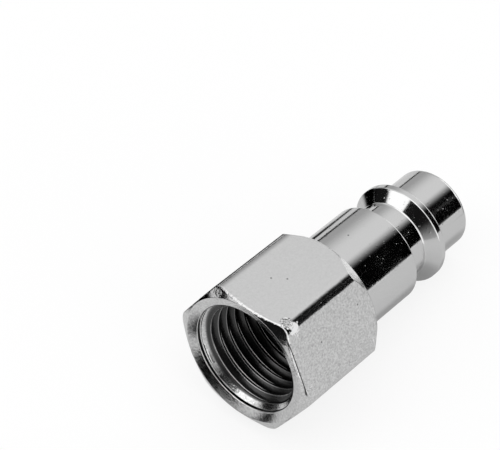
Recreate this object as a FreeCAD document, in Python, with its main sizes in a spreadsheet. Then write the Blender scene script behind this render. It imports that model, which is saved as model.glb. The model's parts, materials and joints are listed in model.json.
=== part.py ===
import FreeCAD, Part
import os

import Sketcher

# Quick coupling plug with a female pipe thread, turned in one piece from hexagon bar.
# It is drawn along X, from the thread's mouth to the nose, and then laid down as it comes to rest:
# its weight lies just past the hexagon, so it tips until the collar touches the ground.
# Lengths are in millimetres and angles in degrees.

SIZES = {
    # hexagon bar
    "hex_flats": 16.0,
    "hex_length": 12.6,
    "corner_round": 1.0,
    # cone that takes off the bar's corners at the nose side, measured from the axis
    "corner_cone_angle": 34.0,
    "corner_cone_inset": 0.1,
    # shallow crown on the mouth's end face, outside a narrow flat land
    "crown_angle": 15.0,
    "crown_land": 0.25,
    # sloping shoulder between the hexagon and the body
    "shoulder_length": 0.7,
    "shoulder_fillet": 0.4,
    # plain body that guides the plug in its socket
    "body_diameter": 11.75,
    "body_length": 8.85,
    "body_cone_length": 0.85,
    # neck that the socket's balls drop into
    "neck_diameter": 9.2,
    "neck_length": 2.4,
    # collar that the balls hold back
    "collar_diameter": 12.0,
    "collar_back_length": 1.05,
    "collar_rim_width": 0.75,
    "collar_front_length": 0.9,
    # nose that opens the socket's valve and seals in it
    "nose_diameter": 9.6,
    "nose_length": 4.9,
    "nose_round": 0.5,
    # air way
    "bore_diameter": 7.2,
    "bore_chamfer": 0.2,
    # quarter inch parallel pipe thread, drilled to its minor diameter
    "thread_minor": 11.445,
    "thread_major": 13.157,
    "tapping_depth": 11.5,
    "tapping_point_angle": 118.0,
    "countersink_over_thread": 0.6,
    "countersink_angle": 90.0,
    # broken edges at both ends of the hexagon's sides, in front of the body and on the collar's rim
    "edge_round": 0.15,
}

NODE = "coupling_plug"
HEXAGON_SIDES = 6
TOLERANCE = 1e-4

# Expressions that several features share, in terms of the sheet's names.
# The turning cuts reach a full width across flats from the axis, well past the bar's corners.
FLATS_RADIUS = "Sizes.hex_flats / 2"
CUT_RADIUS = "Sizes.hex_flats"
RIDGE_RADIUS = f"({FLATS_RADIUS} - Sizes.corner_cone_inset)"
COUNTERSINK_DIAMETER = "(Sizes.thread_major + Sizes.countersink_over_thread)"
LAND_RADIUS = f"({COUNTERSINK_DIAMETER} / 2 + Sizes.crown_land)"

# Turned steps in front of the hexagon, each with its length and the diameter that it ends at
STEPS = [
    ("shoulder_length", "body_diameter"),
    ("body_length", "body_diameter"),
    ("body_cone_length", "neck_diameter"),
    ("neck_length", "neck_diameter"),
    ("collar_back_length", "collar_diameter"),
    ("collar_rim_width", "collar_diameter"),
    ("collar_front_length", "nose_diameter"),
    ("nose_length", "nose_diameter"),
]


def station(last):
    """Expression for the place along the axis where a step ends."""
    lengths = [length for length, _ in STEPS]
    passed = ["hex_length"] + lengths[: lengths.index(last) + 1]
    return "(" + " + ".join(f"Sizes.{length}" for length in passed) + ")"


def touching_tilt(last):
    """Expression for the tilt that brings the edge at the front of a step down to the ground."""
    drop = f"({FLATS_RADIUS} - Sizes.{dict(STEPS)[last]} / 2)"
    return f"atan({drop} / ({station(last)} - {FLAT_FRONT}))"


OVERALL_LENGTH = station("nose_length")

# The lying plug tips over the front of a flat, until the body, the collar or the nose stops it.
# This is worked out from the sharp edges, because breaking them moves the collar by microns only.
FLAT_FRONT = "(Sizes.hex_length - Sizes.corner_cone_inset / tan(Sizes.corner_cone_angle))"
STOPPING_STEPS = ["body_length", "collar_rim_width", "nose_length"]


def fill_sheet(doc):
    """Writes the driving dimensions, a name and a number to each row."""
    sheet = doc.addObject("Spreadsheet::Sheet", "Sizes")
    for row, (name, value) in enumerate(SIZES.items(), start=1):
        sheet.set(f"A{row}", name)
        sheet.set(f"B{row}", str(value))
        sheet.setAlias(f"B{row}", name)
    doc.recompute()
    return sheet


def sketch_on(body, role, label):
    """Starts a sketch on one of the body's own origin planes."""
    plane = next(item for item in body.Origin.OriginFeatures if item.Role == role)
    sketch = body.newObject("Sketcher::SketchObject", label)
    sketch.AttachmentSupport = (plane, [""])
    sketch.MapMode = "FlatFace"
    return sketch


def add_polygon(sketch, points):
    """Joins the points with lines into a closed outline."""
    vectors = [FreeCAD.Vector(*point, 0) for point in points]
    for start, end in zip(vectors, vectors[1:] + vectors[:1]):
        sketch.addGeometry(Part.LineSegment(start, end))
    for index in range(len(vectors)):
        following = (index + 1) % len(vectors)
        sketch.addConstraint(Sketcher.Constraint("Coincident", index, 2, following, 1))


def bind(sketch, constraint, expression):
    """Adds a dimension to a sketch and ties it to the sheet."""
    number = sketch.addConstraint(constraint)
    sketch.setExpression(f"Constraints[{number}]", expression)


def turning_sketch(body, label, corners):
    """An outline in the axis plane, whose corners are pairs of expressions for X and radius."""
    sketch = sketch_on(body, "XZ_Plane", label)
    points = [[sketch.evalExpression(part) for part in corner] for corner in corners]
    add_polygon(sketch, points)
    for index, (corner, point) in enumerate(zip(corners, points)):
        if abs(point[0]) < TOLERANCE:
            sketch.addConstraint(Sketcher.Constraint("Vertical", index, 1, -1, 1))
        else:
            bind(sketch, Sketcher.Constraint("DistanceX", -1, 1, index, 1, point[0]), corner[0])
        bind(sketch, Sketcher.Constraint("DistanceY", -1, 1, index, 1, point[1]), corner[1])
    return sketch


def turn(body, label, corners):
    """Turns an outline away from the outside of the bar."""
    sketch = turning_sketch(body, f"{label}_outline", corners)
    groove = body.newObject("PartDesign::Groove", label)
    groove.Profile = sketch
    groove.ReferenceAxis = (sketch, ["H_Axis"])
    groove.Angle = 360
    return finish(body, groove)


def finish(body, feature):
    """Recomputes and makes sure that the feature changed the solid."""
    before = feature.BaseFeature.Shape.Volume if feature.BaseFeature else 0
    body.Document.recompute()
    if abs(feature.Shape.Volume - before) < TOLERANCE:
        raise RuntimeError(f"{feature.Label} changed nothing")
    return feature


def edges_of(feature, test):
    """Names of the feature's edges that pass a test."""
    return [f"Edge{number}" for number, edge in enumerate(feature.Shape.Edges, start=1) if test(edge)]


def near(one, other):
    return abs(one - other) < TOLERANCE


def long_edge(edge):
    """True for a straight edge that runs along the axis."""
    return isinstance(edge.Curve, Part.Line) and near(abs(edge.Curve.Direction.x), 1)


def side_end(edge):
    """True for an end of the hexagon's sides and corners: all other edges are circles or straight."""
    return not isinstance(edge.Curve, (Part.Line, Part.Circle))


def rim(along, radius):
    """Test for the circular edge at one place along the axis."""

    def test(edge):
        circle = edge.Curve
        if not isinstance(circle, Part.Circle):
            return False
        return near(circle.Center.x, along) and near(circle.Radius, radius)

    return test


def dress(body, kind, label, base, names, size_property, size):
    """Rounds or chamfers the named edges of a feature."""
    feature = body.newObject(f"PartDesign::{kind}", label)
    feature.Base = (base, names)
    feature.setExpression(size_property, size)
    return finish(body, feature)


def hexagon_bar(body):
    """The bar that the plug is turned from, with rounded corners and one flat facing down."""
    sketch = sketch_on(body, "YZ_Plane", "bar_section")
    corner = sketch.evalExpression(f"{FLATS_RADIUS} / cos(180 / {HEXAGON_SIDES})")
    # the first side is the flat at the bottom, so its first corner is half a side before that
    first_turn = -90 - 180 / HEXAGON_SIDES
    points = []
    for side in range(HEXAGON_SIDES):
        turned = FreeCAD.Rotation(FreeCAD.Vector(0, 0, 1), first_turn + side * 360 / HEXAGON_SIDES)
        point = turned.multVec(FreeCAD.Vector(corner, 0, 0))
        points.append((point.x, point.y))
    add_polygon(sketch, points)
    guide = sketch.addGeometry(Part.Circle(FreeCAD.Vector(), FreeCAD.Vector(0, 0, 1), corner), True)
    sketch.addConstraint(Sketcher.Constraint("Coincident", guide, 3, -1, 1))
    for side in range(HEXAGON_SIDES):
        sketch.addConstraint(Sketcher.Constraint("PointOnObject", side, 1, guide))
    for side in range(1, HEXAGON_SIDES):
        sketch.addConstraint(Sketcher.Constraint("Equal", 0, side))
    sketch.addConstraint(Sketcher.Constraint("Horizontal", 0))
    bottom = Sketcher.Constraint("DistanceY", 0, 1, -1, 1, sketch.evalExpression(FLATS_RADIUS))
    bind(sketch, bottom, FLATS_RADIUS)

    bar = body.newObject("PartDesign::Pad", "hexagon_bar")
    bar.Profile = sketch
    bar.setExpression("Length", OVERALL_LENGTH)
    finish(body, bar)
    corners = edges_of(bar, long_edge)
    return dress(body, "Fillet", "bar_corners", bar, corners, "Radius", "Sizes.corner_round")


def round_rims(body, label, base, rims, size):
    """Rounds circular edges, each given as the step that ends there and the diameter there."""
    names = []
    for last, diameter in rims:
        along = base.evalExpression(station(last))
        names += edges_of(base, rim(along, base.evalExpression(f"Sizes.{diameter} / 2")))
    return dress(body, "Fillet", label, base, names, "Radius", f"Sizes.{size}")


def turned_outside(body):
    """The mouth's crown, then everything in front of the hexagon."""
    crown_depth = f"({CUT_RADIUS} - {LAND_RADIUS}) * tan(Sizes.crown_angle)"
    turn(body, "mouth_crown", [("0", LAND_RADIUS), ("0", CUT_RADIUS), (crown_depth, CUT_RADIUS)])

    cone_start = f"Sizes.hex_length - ({CUT_RADIUS} - {RIDGE_RADIUS}) / tan(Sizes.corner_cone_angle)"
    outline = [(cone_start, CUT_RADIUS), ("Sizes.hex_length", RIDGE_RADIUS)]
    along = "Sizes.hex_length"
    for length, diameter in STEPS:
        along += f" + Sizes.{length}"
        outline.append((along, f"Sizes.{diameter} / 2"))
    outline.append((OVERALL_LENGTH, CUT_RADIUS))
    turned = turn(body, "plug_profile", outline)

    shoulder = [("shoulder_length", "body_diameter")]
    rooted = round_rims(body, "shoulder_root", turned, shoulder, "shoulder_fillet")
    nose = [("nose_length", "nose_diameter")]
    rounded = round_rims(body, "nose_edge", rooted, nose, "nose_round")
    broken = [
        ("body_length", "body_diameter"),
        ("collar_back_length", "collar_diameter"),
        ("collar_rim_width", "collar_diameter"),
    ]
    smoothed = round_rims(body, "broken_rims", rounded, broken, "edge_round")
    sides = edges_of(smoothed, side_end)
    return dress(body, "Fillet", "broken_sides", smoothed, sides, "Radius", "Sizes.edge_round")


def circle_at_mouth(body, label, diameter):
    """A circle on the axis in the plane of the mouth."""
    sketch = sketch_on(body, "YZ_Plane", label)
    radius = sketch.evalExpression(diameter) / 2
    circle = sketch.addGeometry(Part.Circle(FreeCAD.Vector(), FreeCAD.Vector(0, 0, 1), radius))
    sketch.addConstraint(Sketcher.Constraint("Coincident", circle, 3, -1, 1))
    bind(sketch, Sketcher.Constraint("Diameter", circle, 2 * radius), diameter)
    return sketch


def bored_inside(body):
    """The tapping hole with its countersink, and the air way through to the nose."""
    sketch = circle_at_mouth(body, "tapping_centre", "Sizes.thread_minor")
    body.Document.recompute()
    hole = body.newObject("PartDesign::Hole", "tapping_hole")
    hole.Profile = sketch
    hole.Reversed = True
    hole.DepthType = "Dimension"
    hole.DrillPoint = "Angled"
    hole.HoleCutType = "Countersink"
    hole.HoleCutCustomValues = True
    hole.setExpression("Diameter", "Sizes.thread_minor")
    hole.setExpression("Depth", "Sizes.tapping_depth")
    hole.setExpression("DrillPointAngle", "Sizes.tapping_point_angle")
    hole.setExpression("HoleCutDiameter", COUNTERSINK_DIAMETER)
    hole.setExpression("HoleCutCountersinkAngle", "Sizes.countersink_angle")
    finish(body, hole)

    bore = body.newObject("PartDesign::Pocket", "air_bore")
    bore.Profile = circle_at_mouth(body, "bore_section", "Sizes.bore_diameter")
    bore.Type = "ThroughAll"
    bore.Reversed = True
    finish(body, bore)
    edge = rim(bore.evalExpression(OVERALL_LENGTH), bore.evalExpression("Sizes.bore_diameter / 2"))
    return dress(body, "Chamfer", "bore_edge", bore, edges_of(bore, edge), "Size", "Sizes.bore_chamfer")


def lay_down(body):
    """Tips the plug onto its collar, over the origin and with the ground at Z = 0."""
    body.addProperty("App::PropertyAngle", "RestTilt", "Rest", "How far the axis points below level")
    tilts = [touching_tilt(last) for last in STOPPING_STEPS]
    body.setExpression("RestTilt", f"min({'; '.join(tilts)})")
    # any angle above zero makes Y the axis that the expression then turns about
    body.Placement = FreeCAD.Placement(FreeCAD.Vector(), FreeCAD.Rotation(FreeCAD.Vector(0, 1, 0), 1))
    body.setExpression("Placement.Rotation.Angle", "RestTilt")

    back = f"{LAND_RADIUS} * sin(RestTilt)"
    nose_flat = "(Sizes.nose_diameter / 2 - Sizes.nose_round)"
    nose_centre = f"(({OVERALL_LENGTH} - Sizes.nose_round) * cos(RestTilt) + {nose_flat} * sin(RestTilt))"
    body.setExpression("Placement.Base.x", f"({back} - {nose_centre} - Sizes.nose_round) / 2")
    # the broken edge at the front of the flat, on which the plug stands
    edge_along = f"({FLAT_FRONT} - Sizes.edge_round * tan(Sizes.corner_cone_angle / 2))"
    edge_drop = f"({FLATS_RADIUS} - Sizes.edge_round)"
    lowest = f"{edge_along} * sin(RestTilt) + {edge_drop} * cos(RestTilt) + Sizes.edge_round"
    body.setExpression("Placement.Base.z", lowest)
    body.Document.recompute()


def coupling_plug(doc):
    """The whole plug, lying at rest."""
    body = doc.addObject("PartDesign::Body", NODE)
    body.Label = NODE
    hexagon_bar(body)
    turned_outside(body)
    body.Tip = bored_inside(body)
    lay_down(body)
    return body


def checked_solid(doc, body):
    """The body's one valid solid, after making sure that every object was built."""
    for item in doc.Objects:
        if "Invalid" in item.State or "Error" in item.State:
            raise RuntimeError(f"{item.Label}: {item.State}")
    if body.Shape.isNull() or not body.Shape.isValid() or len(body.Shape.Solids) != 1:
        raise RuntimeError(f"{body.Label} is not one valid solid")
    return body.Shape.Solids[0]


document = FreeCAD.newDocument("quick_coupling_plug")
fill_sheet(document)
plug = coupling_plug(document)
solid = checked_solid(document, plug)
os.makedirs("parts", exist_ok=True)
solid.exportStep(f"parts/{plug.Label}.step")
print(f"{plug.Label}: volume {solid.Volume:.1f} mm3, centre of mass {solid.CenterOfMass}")
print(f"tilt {plug.RestTilt}, {plug.Placement}, {solid.optimalBoundingBox()}")
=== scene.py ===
import json
import math

import bpy
import numpy as np
from mathutils import Euler, Matrix, Vector


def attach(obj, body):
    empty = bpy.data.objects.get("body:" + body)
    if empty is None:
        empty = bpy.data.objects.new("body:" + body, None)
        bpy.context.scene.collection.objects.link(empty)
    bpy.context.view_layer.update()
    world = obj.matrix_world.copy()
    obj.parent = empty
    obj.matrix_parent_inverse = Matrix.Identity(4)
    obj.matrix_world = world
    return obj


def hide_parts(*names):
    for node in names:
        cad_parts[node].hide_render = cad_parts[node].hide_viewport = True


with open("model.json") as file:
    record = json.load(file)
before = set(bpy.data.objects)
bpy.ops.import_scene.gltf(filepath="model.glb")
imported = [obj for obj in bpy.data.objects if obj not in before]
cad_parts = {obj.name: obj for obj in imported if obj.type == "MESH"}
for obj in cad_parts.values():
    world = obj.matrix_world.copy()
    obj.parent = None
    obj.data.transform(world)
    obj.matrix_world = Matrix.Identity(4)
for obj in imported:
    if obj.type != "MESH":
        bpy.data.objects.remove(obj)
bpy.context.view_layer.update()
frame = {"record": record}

# One turned quick coupling plug, lying on a pale table. Its mesh is built along X from the thread's mouth
# to the nose, in millimetres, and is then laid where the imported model's mount for the thread says.

# a millimetre in the scene's metres
MM = 0.001
TURN = 2 * math.pi

# Hexagon
HEX_SIDES = 6
HALF_SIDE = math.pi / HEX_SIDES
HEX_FLATS = 15.8
HEX_LENGTH = 12.6
CORNER_ROUND = 1.6
EDGE_ROUND = 0.15
CORNER_CONE_ANGLE = math.radians(34)
RIDGE_RADIUS = 7.8

# Mouth: a dished face inside a rim, corners cut back outside it, and a short counterbore with a countersink
RIM_AT = -0.42
RIM_RADIUS = 7.72
RIM_ROUND = 0.08
MOUTH_ROUND = 0.26
MOUTH_CUT_ANGLE = math.radians(26)
OPENING_ROUND = 0.12
COUNTERBORE_RADIUS = 6.6
COUNTERBORE_DEPTH = 0.4
CRISP_ROUND = 0.05
# where the 45 degree countersink begins, and where its cone would meet the axis
SINK_START = COUNTERBORE_DEPTH + 2 * CRISP_ROUND
SINK_POINT = COUNTERBORE_DEPTH + COUNTERBORE_RADIUS

# Turned steps in front of the hexagon
BODY_RADIUS = 5.875
BODY_START = 13.3
BODY_END = 22.15
NECK_RADIUS = 4.6
NECK_START = 23.0
NECK_END = 25.4
COLLAR_RADIUS = 6.0
COLLAR_START = 26.45
COLLAR_END = 27.2
NOSE_RADIUS = 4.8
NOSE_START = 28.1
LENGTH = 33.0
SHOULDER_FILLET = 0.4
NECK_FILLET = 0.25
NOSE_ROUND = 0.5

# Air way and tapping hole
BORE_RADIUS = 3.6
BORE_CHAMFER = 0.2
TAPPING_DEPTH = 11.5
TAPPING_POINT_ANGLE = math.radians(118)

# Quarter inch parallel pipe thread, 19 turns to the inch, 55 degrees between its flanks
PITCH = 25.4 / 19
THREAD_MINOR = 11.445 / 2
THREAD_MAJOR = 13.157 / 2
THREAD_DEPTH = THREAD_MAJOR - THREAD_MINOR
FLANK_ANGLE = math.radians(27.5)
CREST_ROUND = 0.05
ROOT_ROUND = 0.15
THREAD_END = 9.9
# how far along a crest's middle crosses the level plane, at the side that Y points to
THREAD_START = -0.105

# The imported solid's thread is a plain wall, which starts at the foot of that solid's own countersink
SOLID_SINK_RADIUS = THREAD_MAJOR + 0.3
SOLID_WALL_START = SOLID_SINK_RADIUS - THREAD_MINOR

# Mesh: columns round the hexagon, how far from a rounded corner its guard points stand, the turns of thread
# that are laid out before the mouth and past the thread's end, and how finely a crossing is looked for
COLUMNS_ON_FLAT = 36
COLUMNS_ON_CORNER = 12
GUARD = 0.05
TURNS_BEFORE = 2
TURNS_PAST = 3
CROSSING_SAMPLES = 400
# points whose millimetres agree to this many digits are one point
SAME_PLACE_DIGITS = 6


def hexagon_columns():
    """Angles of the mesh's columns and the hexagon's radius at each, closer together round the corners."""
    apothem = HEX_FLATS / 2
    arc_centre = (apothem - CORNER_ROUND) / math.cos(HALF_SIDE)
    flat_half = (apothem - CORNER_ROUND) * math.tan(HALF_SIDE)
    across = apothem * np.tan(np.linspace(-1, 1, COLUMNS_ON_FLAT) * math.atan(flat_half / apothem))
    flat = np.stack([np.full_like(across, apothem), across], 1)
    bend = np.linspace(-HALF_SIDE, HALF_SIDE, COLUMNS_ON_CORNER + 2)[1:-1]
    corner = np.stack([arc_centre + CORNER_ROUND * np.cos(bend), CORNER_ROUND * np.sin(bend)], 1)
    angles, radii = [], []
    for side in range(HEX_SIDES):
        for points, middle in ((flat, 2 * side * HALF_SIDE), (corner, (2 * side + 1) * HALF_SIDE)):
            # the first side is the one that faces up
            angles.append(np.arctan2(points[:, 1], points[:, 0]) + middle + math.pi / 2)
            radii.append(np.hypot(points[:, 0], points[:, 1]))
    return np.concatenate(angles), np.concatenate(radii)


def rounded_path(corners, guard=GUARD):
    """Samples a path of straight runs whose corners are rounded.

    Each corner is (x, radius, round, steps), and one with no steps stays as it is. Beside each rounded
    corner, a straight run gets a guard point, so that smooth shading doesn't bend the whole run.
    """
    places = [np.array(corner[:2], float) for corner in corners]
    points = [places[0]]
    for before, corner, after, (_, _, radius, steps) in zip(places, places[1:], places[2:], corners[1:-1]):
        if not steps:
            points.append(corner)
            continue
        back = (before - corner) / np.linalg.norm(before - corner)
        ahead = (after - corner) / np.linalg.norm(after - corner)
        bend = math.acos(-back @ ahead)
        reach = radius * math.tan(bend / 2)
        start, end = corner + back * reach, corner + ahead * reach
        centre = corner + (back + ahead) / np.linalg.norm(back + ahead) * radius / math.cos(bend / 2)
        if guard:
            points.append(start + back * min(guard, np.linalg.norm(points[-1] - start) / 2))
        for step in range(steps + 1):
            share = step / steps
            weights = math.sin((1 - share) * bend) / math.sin(bend), math.sin(share * bend) / math.sin(bend)
            points.append(centre + (start - centre) * weights[0] + (end - centre) * weights[1])
        if guard:
            points.append(end + ahead * min(guard, np.linalg.norm(after - end) / 3))
    points.append(places[-1])
    return points


def outside_section(side_radius):
    """The section from the countersink's edge over the outside and back through the air way."""
    cut_depth = RIM_AT + (side_radius - RIM_RADIUS) * math.tan(MOUTH_CUT_ANGLE)
    cone_start = HEX_LENGTH - (side_radius - RIDGE_RADIUS) / math.tan(CORNER_CONE_ANGLE)
    point_depth = (THREAD_MINOR - BORE_RADIUS) / math.tan(TAPPING_POINT_ANGLE / 2)
    return rounded_path([
        (SINK_START, COUNTERBORE_RADIUS - 2 * CRISP_ROUND, 0, 0),
        (COUNTERBORE_DEPTH, COUNTERBORE_RADIUS, CRISP_ROUND, 2),
        (0, COUNTERBORE_RADIUS, OPENING_ROUND, 4),
        (RIM_AT, RIM_RADIUS, RIM_ROUND, 3),
        (cut_depth, side_radius, MOUTH_ROUND, 6),
        (HEX_LENGTH / 2, side_radius, 0, 0),
        (cone_start, side_radius, EDGE_ROUND, 3),
        (HEX_LENGTH, RIDGE_RADIUS, CRISP_ROUND, 2),
        (BODY_START, BODY_RADIUS, SHOULDER_FILLET, 6),
        ((BODY_START + BODY_END) / 2, BODY_RADIUS, 0, 0),
        (BODY_END, BODY_RADIUS, EDGE_ROUND, 3),
        (NECK_START, NECK_RADIUS, CRISP_ROUND, 2),
        (NECK_END, NECK_RADIUS, NECK_FILLET, 6),
        (COLLAR_START, COLLAR_RADIUS, EDGE_ROUND, 3),
        (COLLAR_END, COLLAR_RADIUS, EDGE_ROUND, 3),
        (NOSE_START, NOSE_RADIUS, CRISP_ROUND, 2),
        (LENGTH, NOSE_RADIUS, NOSE_ROUND, 7),
        (LENGTH, BORE_RADIUS + BORE_CHAMFER, CRISP_ROUND, 1),
        (LENGTH - BORE_CHAMFER, BORE_RADIUS, CRISP_ROUND, 1),
        (TAPPING_DEPTH + point_depth, BORE_RADIUS, CRISP_ROUND, 1),
        (TAPPING_DEPTH, THREAD_MINOR, CRISP_ROUND, 1),
        (THREAD_END, THREAD_MINOR, 0, 0),
    ])


def thread_profile():
    """One turn of the thread: distances along from a crest's middle, and depths below the crest."""
    flank = THREAD_DEPTH * math.tan(FLANK_ANGLE)
    crest_half = (PITCH / 2 - flank) / 2
    rise = np.array(rounded_path([
        (0, 0, 0, 0),
        (crest_half, 0, CREST_ROUND, 2),
        (PITCH / 2 - crest_half, THREAD_DEPTH, ROOT_ROUND, 2),
        (PITCH / 2, THREAD_DEPTH, 0, 0),
    ], guard=0))
    fall = rise[-2:0:-1] * (-1, 1) + (PITCH, 0)
    return np.concatenate([rise, fall])


def threaded_section(turned, profile, rows):
    """The section from the countersink's edge to the bottom of the thread, at one angle round the axis."""
    lead = PITCH * turned / TURN
    count = len(profile)
    numbers = np.arange(rows)
    places = (numbers // count - TURNS_BEFORE) * PITCH + profile[numbers % count, 0] + THREAD_START + lead
    along = np.clip(places, SINK_START, THREAD_END)

    def wall(x):
        """Radii of the thread, whose groove runs out over its last turn, and of the countersink's cone."""
        phase = (x - THREAD_START - lead) % PITCH
        depth = np.interp(phase, np.append(profile[:, 0], PITCH), np.append(profile[:, 1], 0))
        run_out = np.clip((THREAD_END - x) / PITCH, 0, 1)
        return THREAD_MINOR + depth * run_out, SINK_POINT - x

    # where thread and countersink cross, the row that is nearest moves onto the crossing
    samples = np.linspace(SINK_START, SINK_POINT - THREAD_MINOR + PITCH / 4, CROSSING_SAMPLES)
    thread, sink = wall(samples)
    for index in np.flatnonzero(np.diff(np.sign(thread - sink))):
        near = np.argmin(np.abs(along - samples[index]))
        if 0 < near and SINK_START < along[near] < THREAD_END:
            along[near] = samples[index]
    radii = np.maximum(*wall(along))
    # the first row meets the countersink's edge all the way round
    radii[along == SINK_START] = SINK_POINT - SINK_START
    return np.stack([along, radii], 1)


class PlugMesh:
    """Collects points and faces in the plug's own frame, and joins points that coincide."""

    def __init__(self):
        self.points = []
        self.faces = []
        self.numbers = {}

    def column(self, section, angle):
        """Numbers of a section's points, turned to an angle."""
        numbers = []
        for x, radius in section:
            place = (x, radius * math.cos(angle), radius * math.sin(angle))
            key = tuple(round(value, SAME_PLACE_DIGITS) for value in place)
            if key not in self.numbers:
                self.numbers[key] = len(self.points)
                self.points.append(place)
            numbers.append(self.numbers[key])
        return numbers

    def skin(self, columns, seam_shift=0, inward=False):
        """Joins neighbouring columns. At the seam, a row meets the one that is a turn further on."""
        first = columns[0][seam_shift:] + columns[0][-1:] * seam_shift
        for column, following in zip(columns, columns[1:] + [first]):
            for here, ahead in zip(zip(column, column[1:]), zip(following, following[1:])):
                corners = list(dict.fromkeys((here[0], ahead[0], ahead[1], here[1])))
                if len(corners) > 2:
                    self.faces.append(corners[::-1] if inward else corners)


def plug_skin():
    """The plug as one closed skin, in its own frame."""
    built = PlugMesh()
    angles, radii = hexagon_columns()
    built.skin([built.column(outside_section(radius), angle) for angle, radius in zip(angles, radii)])
    profile = thread_profile()
    rows = (int(THREAD_END / PITCH) + TURNS_BEFORE + TURNS_PAST) * len(profile)
    inside = [built.column(threaded_section(angle, profile, rows), angle) for angle in angles]
    built.skin(inside, seam_shift=len(profile), inward=True)
    return built


def resting_place():
    """The matrix that lays the plug down. The mount in the middle of the thread's wall gives its place."""
    mount = next(item for item in frame["record"]["mounts"] if item["name"] == "female_thread")
    along = -Vector(mount["axis"])
    side = Vector((0, 1, 0))
    up = along.cross(side)
    wall_middle = (SOLID_WALL_START + TAPPING_DEPTH) / 2 * MM
    mouth = Vector(mount["pos_m"]) - along * wall_middle
    turned = Matrix((along, side, up)).transposed().to_4x4()
    return Matrix.Translation(mouth) @ turned


def coupling_plug():
    """The plug's mesh, laid down, in place of the plain node."""
    built = plug_skin()
    mesh = bpy.data.meshes.new("plated_plug")
    mesh.from_pydata([Vector(point) * MM for point in built.points], [], built.faces)
    mesh.transform(resting_place())
    mesh.shade_smooth()
    plug = bpy.data.objects.new("plated_plug", mesh)
    bpy.context.scene.collection.objects.link(plug)
    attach(plug, "root")
    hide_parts("coupling_plug")
    return plug


# Camera: its place in the scene and its lens in millimetres, and its direction in degrees
CAMERA_PLACE = (-120.7, -93.5, 196.2)
CAMERA_AZIMUTH = 48.53
CAMERA_ELEVATION = 49.62
CAMERA_ROLL = -1.08
CAMERA_LENS = 160.1


def photograph_camera():
    """The camera that looks at the plug as the photograph does."""
    camera = bpy.data.cameras.new("camera")
    camera.lens = CAMERA_LENS
    camera.sensor_width = 36
    camera.clip_start = 0.01
    looker = bpy.data.objects.new("camera", camera)
    bpy.context.scene.collection.objects.link(looker)
    turns = (90 - CAMERA_ELEVATION, -CAMERA_AZIMUTH, CAMERA_ROLL)
    pitch, heading, roll = (math.radians(turn) for turn in turns)
    turned = Euler((pitch, 0, heading)).to_matrix() @ Matrix.Rotation(roll, 3, "Z")
    looker.matrix_world = Matrix.Translation(Vector(CAMERA_PLACE) * MM) @ turned.to_4x4()
    bpy.context.scene.camera = looker


class Number:
    """A number in a node tree. Arithmetic on it adds Math nodes."""

    def __init__(self, shader, socket):
        self.shader = shader
        self.socket = socket

    def __add__(self, other):
        return self.shader.math("ADD", self, other)

    def __sub__(self, other):
        return self.shader.math("SUBTRACT", self, other)

    def __rsub__(self, other):
        return self.shader.math("SUBTRACT", other, self)

    def __mul__(self, other):
        return self.shader.math("MULTIPLY", self, other)

    def __truediv__(self, other):
        return self.shader.math("DIVIDE", self, other)

    __radd__ = __add__
    __rmul__ = __mul__


class Shader:
    """A node tree that is written as expressions."""

    def __init__(self, tree):
        self.tree = tree
        tree.nodes.clear()

    def node(self, kind, settings=None, inputs=None, output=0):
        """Adds a node: first its settings, then the values or links of its sockets."""
        added = self.tree.nodes.new(kind)
        for name, value in (settings or {}).items():
            setattr(added, name, value)
        for name, value in (inputs or {}).items():
            if isinstance(value, Number):
                self.tree.links.new(value.socket, added.inputs[name])
            else:
                added.inputs[name].default_value = value
        if not added.outputs:
            return added
        return Number(self, added.outputs[output])

    def math(self, operation, *values):
        return self.node("ShaderNodeMath", {"operation": operation}, dict(enumerate(values)))

    def vector(self, operation, *values, output=0):
        return self.node("ShaderNodeVectorMath", {"operation": operation}, dict(enumerate(values)), output)

    def part(self, vector, name):
        """One of the three numbers of a vector."""
        return self.node("ShaderNodeSeparateXYZ", inputs={"Vector": vector}, output=name)

    def ease(self, value, low, high, start=0.0, end=1.0):
        """Goes smoothly from start to end while the value goes from low to high."""
        return self.node("ShaderNodeMapRange", {"interpolation_type": "SMOOTHSTEP"}, {
            "Value": value, "From Min": low, "From Max": high, "To Min": start, "To Max": end})

    def window(self, value, low, high, soft_low, soft_high):
        """1 between low and high, 0 beyond, each edge as soft as given."""
        above = self.ease(value, low - soft_low, low + soft_low)
        below = self.ease(value, high - soft_high, high + soft_high, 1.0, 0.0)
        return above * below

    def distance(self, place, middle):
        """How far a place is from a fixed one."""
        return self.vector("DISTANCE", place, middle, output="Value")

    def noise(self, place, scale, detail, roughness):
        return self.node("ShaderNodeTexNoise", inputs={
            "Vector": place, "Scale": scale, "Detail": detail, "Roughness": roughness})

    def blend(self, factor, first, second):
        """A colour between two."""
        return self.node("ShaderNodeMix", {"data_type": "RGBA"}, {0: factor, 6: first, 7: second}, 2)

    def show(self, shading):
        """Makes this shading the material's surface."""
        self.node("ShaderNodeOutputMaterial", inputs={"Surface": shading})


def new_shader(datablock):
    """Starts the node tree of a material or a world."""
    datablock.use_nodes = True
    return Shader(datablock.node_tree)


def grey(level):
    """A neutral colour."""
    return level, level, level, 1


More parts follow.
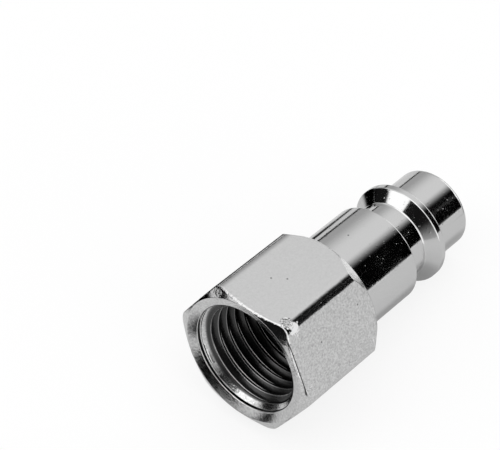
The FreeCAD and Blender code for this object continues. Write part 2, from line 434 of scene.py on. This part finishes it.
# The table reaches this far from its middle, in metres. It glows for the camera and, less, in the metal,
# where the whole of it is also a little dark.
TABLE_REACH = 1.5
TABLE_GREY = 0.9
TABLE_GLOW = 0.82
MIRRORED_GLOW = 0.25
MIRRORED_DARKNESS = 0.19
PAINTED_REFLECTION_PATCHES = [
    # painted reflections: dark patches that only the metal mirrors, for the plug's shadow near it and dark
    # surroundings further off: from and to along X and along Y in millimetres, softness of their edges,
    # darkness
    ((-1500, -112), (-10, 400), 4, 0.97),
    ((-110, -60.5), (2, 29), 1, 0.97),
    ((-60, -46.5), (2, 15), 1, 0.97),
    ((-46, -33.5), (-1, 8), 0.5, 0.97),
    ((-30, -25.5), (3, 7), 1, 0.8),
    ((-8, 20), (-8.5, -3), 2, 0.25),
    ((38, 80), (-30, 12), 4, 0.95),
    ((-60, 28), (24, 300), 5, 0.9),
    ((-1500, 1500), (170, 1500), 10, 0.97),
]


def pale_table():
    """A wide white table that keeps the plug's soft shadow."""
    mesh = bpy.data.meshes.new("table")
    corners = [(-1, -1), (1, -1), (1, 1), (-1, 1)]
    mesh.from_pydata([(x * TABLE_REACH, y * TABLE_REACH, 0) for x, y in corners], [], [(0, 1, 2, 3)])
    table = bpy.data.objects.new("table", mesh)
    bpy.context.scene.collection.objects.link(table)
    mesh.materials.append(white_table())


def white_table():
    """Matt white that glows, with painted dark patches that only the metal mirrors, for the plug's shadow
    near it and dark surroundings further off.
    """
    material = bpy.data.materials.new("white_table")
    shader = new_shader(material)
    place = shader.node("ShaderNodeTexCoord", output="Object")
    x, y = (shader.part(place, name) / MM for name in "XY")
    seen = shader.node("ShaderNodeLightPath", output="Is Camera Ray")
    mirrored = shader.node("ShaderNodeLightPath", output="Is Glossy Ray")
    dark = MIRRORED_DARKNESS
    # painted reflections: dark patches on the table that only glossy rays see
    for (west, east), (south, north), soft, darkness in PAINTED_REFLECTION_PATCHES:
        patch = shader.window(x, west, east, soft, soft) * shader.window(y, south, north, soft, soft)
        dark = patch * darkness + dark
    matt = shader.node("ShaderNodeBsdfDiffuse", inputs={"Color": grey(TABLE_GREY)})
    glow = shader.node("ShaderNodeEmission", inputs={"Color": grey(1), "Strength": 1.0})
    black = shader.node("ShaderNodeEmission", inputs={"Color": grey(0), "Strength": 0.0})
    glowing = seen * TABLE_GLOW + mirrored * MIRRORED_GLOW
    pale = shader.node("ShaderNodeMixShader", inputs={0: glowing, 1: matt, 2: glow})
    shader.show(shader.node("ShaderNodeMixShader", inputs={0: mirrored * dark, 1: pale, 2: black}))
    return material


# Studio: its brightness, and soft boxes and dark cards in it, which cover those named before them.
# Headings turn from X, the side that the nose points to, towards Y.
STUDIO_LEVEL = 0.95
STUDIO = [
    # heading from and to, height from and to, softness of these four edges, in degrees, brightness
    ((-180, 180), (57, 120), (1, 1, 6, 1), 1.65),
    ((-105, -60), (2, 56), (6, 4, 3, 8), 1.65),
    ((-59, -14), (2, 54), (2, 13, 1, 5), 0.0),
    ((-35, 16), (-2, 25), (2, 5, 1, 3), 1.65),
    ((26, 100), (-3, 26), (16, 6, 1, 16), 0.5),
    ((20, 104), (-3, 1.5), (4, 4, 1, 1), 0.02),
    ((104, 131), (-3, 21), (4, 2, 1, 3), 0.01),
    ((165, 214), (-3, 46), (1, 14, 1, 4), 0.01),
    ((132, 164), (14, 52), (2, 1, 2, 3), 1.65),
    ((154, 168), (-3, 12), (1, 1, 1, 1), 0.02),
]


def studio():
    """A pale studio with soft boxes and dark cards, white where the camera looks past the table."""
    world = bpy.data.worlds.new("studio")
    shader = new_shader(world)
    direction = shader.node("ShaderNodeTexCoord", output="Generated")
    x, y, z = (shader.part(direction, name) for name in "XYZ")
    heading = shader.math("ARCTAN2", y, x) * math.degrees(1)
    height = shader.math("ARCSINE", z) * math.degrees(1)
    level = STUDIO_LEVEL
    for (west, east), (low, high), (west_soft, east_soft, low_soft, high_soft), brightness in STUDIO:
        across = shader.math("WRAP", heading - west, 360 - west_soft, -west_soft)
        patch = shader.window(across, 0, east - west, west_soft, east_soft)
        patch = patch * shader.window(height, low, high, low_soft, high_soft)
        level = level + patch * (brightness - level)
    seen = shader.node("ShaderNodeLightPath", output="Is Camera Ray")
    light = shader.node("ShaderNodeBackground", inputs={"Color": grey(1), "Strength": level})
    backdrop = shader.node("ShaderNodeBackground", inputs={"Color": grey(1), "Strength": 1.0})
    mix = shader.node("ShaderNodeMixShader", inputs={0: seen, 1: light, 2: backdrop})
    shader.node("ShaderNodeOutputWorld", inputs={"Surface": mix})
    bpy.context.scene.world = world


# Areas of the plug's surface, in millimetres along from the mouth, away from the axis or up from it.
# Each pair says where the area's mask is 0 and where it is 1.
HEXAGON_ALONG = (BODY_START, BODY_START - 0.5)
MOUTH_FACE_ALONG = (0.3, 0.1)
TOP_FLAT_UP = (7.7, 7.85)
THREADED_ALONG = (12.4, 12.2)
THREADED_RADIUS = (COUNTERBORE_RADIUS + 0.02, COUNTERBORE_RADIUS + 0.01)
AIR_WAY_RADIUS = (BORE_RADIUS + 0.6, BORE_RADIUS + 0.3)
DEEP_ALONG = (0.82, 0.92)
DEEPEST_ALONG = (1.5, 7.0)
GROOVE_ALONG = (0.75, 1.0)
GROOVE_RADIUS = (THREAD_MINOR + 0.02, THREAD_MINOR + 0.12)
ROOT_ALONG = (1.2, 1.5)
ROOT_RADIUS = (THREAD_MAJOR - 0.1, THREAD_MAJOR - 0.03)

# Noises over the plug: scale to the millimetre, detail, roughness
PEEL = (2.6, 4.0, 0.62)
CRUMPLE = (2.2, 3.0, 0.55)
FINE_GRAIN = (9.0, 2.0, 0.5)
GRAIN = (4.5, 3.0, 0.7)
CLOUD = (0.35, 3.0, 0.5)
SOWING = (1.3, 2.0, 0.5)
NOISE_MIDDLE = 0.5


class PlugSurface:
    """What varies over the plug: its own coordinates in millimetres, masks of its areas, and two noises."""

    def __init__(self, shader):
        laid = resting_place()
        point = shader.node("ShaderNodeTexCoord", output="Object")
        off = shader.vector("SUBTRACT", point, laid.translation)
        self.along, self.side, self.up = (
            shader.vector("DOT_PRODUCT", off, laid.col[axis].to_3d() / MM, output="Value")
            for axis in range(3))
        self.place = shader.node(
            "ShaderNodeCombineXYZ", inputs={"X": self.along, "Y": self.side, "Z": self.up})
        self.radius = shader.math("SQRT", self.side * self.side + self.up * self.up)
        # away from the axis, square to the nearest flat
        corner_turn = shader.math("WRAP", shader.math("ARCTAN2", self.side, self.up), HALF_SIDE, -HALF_SIDE)
        self.from_middle = self.radius * shader.math("COSINE", corner_turn)
        self.peel = shader.noise(self.place, *PEEL)
        self.crumple = shader.noise(self.place, *CRUMPLE)
        self.mask(shader)

    def mask(self, shader):
        """Adds the masks, each of them 1 in its own area."""
        self.hexagon = shader.ease(self.along, *HEXAGON_ALONG)
        self.mouth_face = shader.ease(self.along, *MOUTH_FACE_ALONG)
        self.top = shader.ease(self.up, *TOP_FLAT_UP)
        threaded = shader.ease(self.radius, *THREADED_RADIUS) * shader.ease(self.along, *THREADED_ALONG)
        self.inside = shader.math("MAXIMUM", threaded, shader.ease(self.radius, *AIR_WAY_RADIUS))
        self.outside = 1 - self.inside
        self.deep = self.inside * shader.ease(self.along, *DEEP_ALONG)
        self.deepest = self.deep * shader.ease(self.along, *DEEPEST_ALONG)
        grooved = shader.ease(self.radius, *GROOVE_RADIUS)
        self.groove = self.inside * grooved * shader.ease(self.along, *GROOVE_ALONG)
        rooted = shader.ease(self.radius, *ROOT_RADIUS)
        self.root = self.inside * rooted * shader.ease(self.along, *ROOT_ALONG)


# Knocked corners and nicks: place along, to the side and up from the mouth's middle, reach and depth of
# the crumpled metal there, in millimetres, and the share of the reach with the full depth
KNOCKED_CORNERS = [
    ((0.95, -4.1, 7.75), 0.75, 0.4),
    ((-0.2, 4.1, 7.1), 0.5, 0.25),
]
NICKS = [
    ((0.9, -8.3, 1.3), 0.6, 0.06),
    ((10.9, -8.5, 1.0), 0.35, 0.08),
]
FULL_DEPTH_SHARE = 0.4
# the crumpled edge round the mouth: from, to, and the softness of both, and where it is along the plug
CRUMPLED_FROM_MIDDLE = (7.76, 8.1, 0.04, 0.1)
CRUMPLED_ALONG = (0.35, 0.1)
# specks, sown where a noise is high
SPECK_SCALE = 2.4
SPECK_EDGE = (0.3, 0.08)
SOWN = (0.42, 0.62)
# heights in millimetres, and how much less of the peel the mouth's face has
PEEL_HEIGHT = 0.002
HEXAGON_PEEL_HEIGHT = 0.012
MOUTH_FACE_SMOOTHED = 0.7
SPECK_HEIGHT = 0.006
FINE_GRAIN_HEIGHT = 0.0008
CRUMPLE_HEIGHT = 0.07


def plate_relief(shader, surface):
    """Shapes too fine for the mesh: peel, specks, fine grain, and crumpled metal at the mouth's edge."""
    spot = shader.node("ShaderNodeTexVoronoi", inputs={"Vector": surface.place, "Scale": SPECK_SCALE})
    sown = shader.ease(shader.noise(surface.place, *SOWING), *SOWN)
    speck = shader.ease(spot, *SPECK_EDGE) * sown * (1 - surface.top) * (1 - surface.mouth_face)
    rougher = surface.hexagon * (1 - surface.mouth_face * MOUTH_FACE_SMOOTHED) * HEXAGON_PEEL_HEIGHT
    relief = surface.peel * (rougher + PEEL_HEIGHT) + speck * SPECK_HEIGHT
    relief = relief + shader.noise(surface.place, *FINE_GRAIN) * FINE_GRAIN_HEIGHT
    crumple = surface.crumple - NOISE_MIDDLE
    edge = shader.window(surface.from_middle, *CRUMPLED_FROM_MIDDLE)
    edge = edge * shader.ease(surface.along, *CRUMPLED_ALONG)
    relief = relief + crumple * edge * CRUMPLE_HEIGHT
    # less its middle, the noise goes from -0.5 to 0.5, so that twice as much reaches the whole depth
    for middle, reach, depth in KNOCKED_CORNERS + NICKS:
        near = shader.ease(shader.distance(surface.place, middle), reach, reach * FULL_DEPTH_SHARE)
        relief = relief + near * surface.outside * crumple * depth * 2
    return shader.node("ShaderNodeBump", inputs={"Strength": 1.0, "Distance": MM, "Height": relief})


# Small pits: place along, to the side and up from the mouth's middle, and their edge
PITS = [
    (4.7, 1.16, 7.9),
    (5.8, -0.13, 7.9),
    (17.25, 0.6, 5.85),
    (10.44, -6.19, 5.08),
    (4.1, -6.57, 4.42),
]
PIT_EDGE = (0.13, 0.05)
# the shiny spot of the corner that is knocked most, and how far the crumpled metal makes its edge ragged
SHINY_PLACE = (1.3, -4.85, 7.4)
SHINY_EDGE = (0.72, 0.62)
RAGGEDNESS = 2.2
# creases in the knocked corners, where dark shade is painted: their edge, and where they lie in the
# crumple's noise: from, to and the softness of both
CREASED_EDGE = (0.8, 0.7)
CREASE_WINDOW = (0.46, 0.5, 0.01, 0.01)
# the line along the mouth's edge on the right flat, where dark shade is painted: from, to and the softness
# of both along the plug, and its edges in the other directions
LINE_ALONG = (-0.15, -0.02, 0.03, 0.04)
LINE_FROM_MIDDLE = (7.6, 7.7)
LINE_SIDE = (-5.0, -5.3)
LINE_UP = (0.6, 1.1)


def pits(shader, surface):
    """1 in the small pits."""
    pitted = 0.0
    for middle in PITS:
        pitted = shader.ease(shader.distance(surface.place, middle), *PIT_EDGE) + pitted
    return pitted


def shiny_spot(shader, surface):
    """1 on the shiny spot of the corner that is knocked most."""
    ragged = (surface.crumple - NOISE_MIDDLE) * RAGGEDNESS
    return shader.ease(shader.distance(surface.place, SHINY_PLACE) + ragged, *SHINY_EDGE) * surface.outside


def painted_crease_shade(shader, surface):
    """1 in the thin creases of the knocked corners, where dark shade is painted."""
    ragged = (surface.crumple - NOISE_MIDDLE) * RAGGEDNESS
    creased = 0.0
    for middle, _, _ in KNOCKED_CORNERS:
        creased = shader.ease(shader.distance(surface.place, middle) + ragged, *CREASED_EDGE) + creased
    return shader.window(surface.crumple, *CREASE_WINDOW) * surface.outside * creased


def painted_edge_shade(shader, surface):
    """1 in the line along the mouth's edge where dark shade is painted."""
    line = shader.window(surface.along, *LINE_ALONG)
    line = line * shader.ease(surface.from_middle, *LINE_FROM_MIDDLE)
    return line * shader.ease(surface.side, *LINE_SIDE) * shader.ease(surface.up, *LINE_UP)


# Greys of the plate, of painted shade in the creases, along the mouth's edge, deep in the hole and in its
# grooves, and of a painted highlight on the thread's roots
DULL_GREY = 0.5
BRIGHT_GREY = 0.72
HOLLOW_GREY = 0.35
PIT_GREY = 0.12
SHINY_GREY = 0.85
PAINTED_SHADE_GREY = 0.06
DEEP_PAINTED_SHADE = 0.2
DEEPEST_PAINTED_SHADE = 0.07
GROOVE_PAINTED_SHADE = 0.05
ROOT_PAINTED_HIGHLIGHT = 0.4
# how much of the grey a hollow takes, and how much of the painted shade the hole and a groove take
HOLLOW_SHARE = 0.5
DEEP_SHADE_SHARE = 0.7
GROOVE_SHADE_SHARE = 0.95
# where the peel is a hollow and the grain is dull and bright, and how much less of both the top flat has
HOLLOW_EDGE = (0.42, 0.3)
GRAIN_EDGE = (0.32, 0.68)
TOP_FILLED = 0.8
TOP_EVENED = 0.85
# roughness, and what the hexagon, clouds, the hole and the shiny spot add to it
ROUGHNESS = 0.07
HEXAGON_ROUGHER = 0.04
CLOUD_ROUGHER = 0.04
CLOUD_EDGE = (0.3, 0.7)
DEEP_ROUGHER = 0.12
SHINY_ROUGHER = 0.5


def plate_colour(shader, surface, shiny):
    """Bright plate with a dull grain, duller in the peel's hollows, with what happened to it since, and
    with painted shade in the creases and along the mouth's edge.
    """
    grain = shader.ease(shader.noise(surface.place, *GRAIN), *GRAIN_EDGE)
    grained = NOISE_MIDDLE + (grain - NOISE_MIDDLE) * surface.hexagon * (1 - surface.top * TOP_EVENED)
    hollow = shader.ease(surface.peel, *HOLLOW_EDGE) * surface.hexagon * (1 - surface.top * TOP_FILLED)
    colour = shader.blend(grained, grey(DULL_GREY), grey(BRIGHT_GREY))
    colour = shader.blend(hollow * HOLLOW_SHARE, colour, grey(HOLLOW_GREY))
    colour = shader.blend(pits(shader, surface), colour, grey(PIT_GREY))
    colour = shader.blend(shiny, colour, grey(SHINY_GREY))
    # painted shade: dark lines in the knocked corners' creases and along the mouth's edge
    dark = shader.math("MAXIMUM", painted_crease_shade(shader, surface), painted_edge_shade(shader, surface))
    return shader.blend(dark, colour, grey(PAINTED_SHADE_GREY))


def painted_shade_and_highlight_inside(shader, surface, colour):
    """The colour with painted shade, darker in the threaded hole and darkest in its grooves, whose roots
    get a painted highlight.
    """
    # painted shade deep in the threaded hole and in its grooves
    colour = shader.blend(surface.deep * DEEP_SHADE_SHARE, colour, grey(DEEP_PAINTED_SHADE))
    colour = shader.blend(surface.deepest, colour, grey(DEEPEST_PAINTED_SHADE))
    colour = shader.blend(surface.groove * GROOVE_SHADE_SHARE * (1 - surface.root), colour, grey(GROOVE_PAINTED_SHADE))
    # painted highlight on the thread's roots
    return shader.blend(surface.root, colour, grey(ROOT_PAINTED_HIGHLIGHT))


def plate_roughness(shader, surface, shiny):
    """Smoothest on the turned steps and on the mouth's face."""
    cloud = shader.ease(shader.noise(surface.place, *CLOUD), *CLOUD_EDGE)
    roughness = ROUGHNESS + surface.hexagon * (1 - surface.mouth_face) * HEXAGON_ROUGHER
    return roughness + cloud * CLOUD_ROUGHER + surface.deep * DEEP_ROUGHER + shiny * SHINY_ROUGHER


def plated_steel():
    """Bright nickel plate over turned steel."""
    material = bpy.data.materials.new("plated_steel")
    shader = new_shader(material)
    surface = PlugSurface(shader)
    shiny = shiny_spot(shader, surface)
    metal = shader.node("ShaderNodeBsdfPrincipled", inputs={
        "Base Color": painted_shade_and_highlight_inside(shader, surface, plate_colour(shader, surface, shiny)),
        "Metallic": 1.0,
        "Roughness": plate_roughness(shader, surface, shiny),
        "Normal": plate_relief(shader, surface),
    })
    shader.show(metal)
    return material


plug = coupling_plug()
plug.data.materials.append(plated_steel())
pale_table()
studio()
photograph_camera()
bpy.context.scene.view_settings.view_transform = "Standard"
